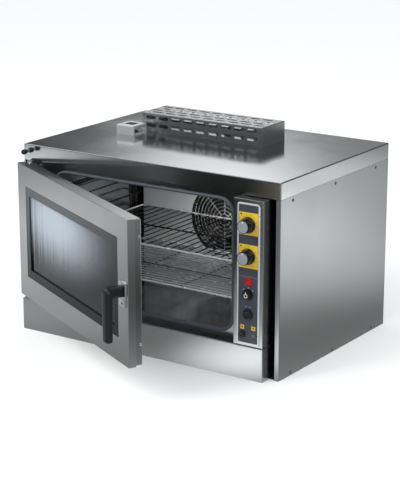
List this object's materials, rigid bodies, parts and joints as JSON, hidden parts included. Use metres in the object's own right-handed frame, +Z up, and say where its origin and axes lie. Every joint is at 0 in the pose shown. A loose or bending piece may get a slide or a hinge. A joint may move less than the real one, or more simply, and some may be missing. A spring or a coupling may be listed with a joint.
{
  "type": "combi steamer oven",
  "caption": "Counter-top combi steamer oven with a side-hinged glazed door, wire shelves, fan, control column with knobs, steam vent and slotted flue box.",
  "frame": {"origin": "centre of the four stand holes, on the cabinet's underside", "axes": "+X to the right as seen from the front, +Y from the front to the back, +Z up"},
  "size_m": [0.9044, 1.0941, 0.628],
  "materials": {
    "stainless_casing": "brushed stainless steel sheet, satin",
    "stainless_frame": "fine brushed stainless steel",
    "stainless_cavity": "bright polished stainless steel",
    "galvanised_sheet": "zinc-coated steel sheet, faint spangle",
    "bright_wire": "chrome-plated steel wire",
    "chrome_plating": "bright chrome plating",
    "zinc_screw": "zinc-plated steel",
    "black_phenolic": "satin black phenolic moulding",
    "black_button": "black ABS moulding",
    "membrane_film": "printed polyester film, slate grey",
    "red_lens": "translucent red lens",
    "grey_lens": "translucent grey lens",
    "switch_body": "glass-filled polyamide",
    "mineral_wool": "mineral wool slab",
    "silicone_seal": "grey silicone rubber",
    "black_enamel": "black enamelled steel",
    "border_enamel": "black enamelled steel frame",
    "outer_pane": "toughened glass, reflecting",
    "inner_pane": "toughened glass",
    "lens_glass": "borosilicate lens",
    "motor_casting": "die-cast aluminium",
    "impeller_alloy": "pressed steel wheel, heat-tinted",
    "steel_bar": "turned steel",
    "brass_fitting": "brass",
    "blue_valve_body": "blue polyamide valve body",
    "copper_tube": "copper tube",
    "black_nylon": "black nylon gland"
  },
  "bodies": {
    "root": {"chassis": "galvanised_sheet", "left_side_panel": "stainless_casing", "right_side_panel": "stainless_casing", "back_panel": "galvanised_sheet", "top_cover": "stainless_casing", "front_frame": "stainless_frame", "drip_panel": "stainless_casing", "control_fascia": "stainless_casing", "control_membrane": "membrane_film", "pilot_lamp": "red_lens", "indicator_lamp": "grey_lens", "panel_switches": "switch_body", "casing_screws": "zinc_screw", "cavity_liner": "stainless_cavity", "insulation": "mineral_wool", "door_gasket": "silicone_seal", "left_rack": "bright_wire", "right_rack": "bright_wire", "air_baffle": "stainless_cavity", "fan_collar": "black_enamel", "fan_guard": "bright_wire", "heat_exchanger": "stainless_cavity", "fan_motor": "motor_casting", "burner": "steel_bar", "gas_valve": "brass_fitting", "water_valve": "blue_valve_body", "water_pipe": "copper_tube", "drain_pipe": "steel_bar", "cable_gland": "black_nylon", "flue_box": "stainless_casing", "vent_pipe": "steel_bar", "steam_vent_box": "chrome_plating", "vent_bushing": "black_phenolic", "cavity_lamp": "motor_casting", "lamp_lens": "lens_glass", "hinge_brackets": "stainless_frame", "hinge_bolts": "chrome_plating", "latch_keeper": "stainless_frame", "thermostat_bulb": "bright_wire"},
    "door": {"door_skin": "stainless_casing", "door_inner_pan": "stainless_frame", "window_border": "border_enamel", "outer_glass": "outer_pane", "inner_glass": "inner_pane", "hinge_blocks": "brass_fitting", "door_edge_screws": "chrome_plating", "handle_plate": "chrome_plating"},
    "handle": {"handle_lever": "black_phenolic", "handle_spindle": "stainless_frame"},
    "upper_shelf": {"upper_shelf": "bright_wire"},
    "lower_shelf": {"lower_shelf": "bright_wire"},
    "fan": {"fan_impeller": "impeller_alloy", "fan_shaft": "steel_bar"},
    "timer": {"timer_knob": "black_phenolic"},
    "temperature": {"temperature_knob": "black_phenolic"},
    "selector": {"selector_knob": "black_phenolic"},
    "steam_button": {"steam_button": "black_button"},
    "lamp_button": {"lamp_button": "black_button"},
    "vent": {"vent_rod": "chrome_plating", "vent_knob": "black_phenolic"}
  },
  "joints": [
    {"name": "door_hinge", "type": "hinge", "parent": "root", "child": "door", "pos_m": [-0.425, -0.338, 0.31], "axis": [0, 0, -1], "range_deg": [-28, 67]},
    {"name": "handle_turn", "type": "hinge", "parent": "door", "child": "handle", "pos_m": [0.19162, -0.68851, 0.322], "axis": [0.4695, 0.8829, 0], "range_deg": [-8, 90]},
    {"name": "upper_shelf_slide", "type": "slide", "parent": "root", "child": "upper_shelf", "axis": [0, -1, 0], "range_m": [0, 0.08]},
    {"name": "lower_shelf_slide", "type": "slide", "parent": "root", "child": "lower_shelf", "axis": [0, -1, 0], "range_m": [0, 0.08]},
    {"name": "fan_spin", "type": "hinge", "parent": "root", "child": "fan", "pos_m": [-0.021, 0.16, 0.3], "axis": [0, 1, 0], "continuous": true},
    {"name": "timer_turn", "type": "hinge", "parent": "root", "child": "timer", "pos_m": [0.3695, -0.36, 0.4495], "axis": [0, 1, 0], "range_deg": [0, 330]},
    {"name": "temperature_turn", "type": "hinge", "parent": "root", "child": "temperature", "pos_m": [0.3695, -0.36, 0.36], "axis": [0, 1, 0], "range_deg": [0, 300]},
    {"name": "selector_turn", "type": "hinge", "parent": "root", "child": "selector", "pos_m": [0.3695, -0.355, 0.249], "axis": [0, 1, 0], "range_deg": [-45, 45]},
    {"name": "steam_button_press", "type": "slide", "parent": "root", "child": "steam_button", "axis": [0, 1, 0], "range_m": [0, 0.003], "stiffness_N_per_m": 500},
    {"name": "lamp_button_press", "type": "slide", "parent": "root", "child": "lamp_button", "axis": [0, 1, 0], "range_m": [0, 0.003], "stiffness_N_per_m": 500},
    {"name": "vent_rod_slide", "type": "slide", "parent": "root", "child": "vent", "axis": [0, -1, 0], "range_m": [-0.0125, 0.016]}
  ]
}
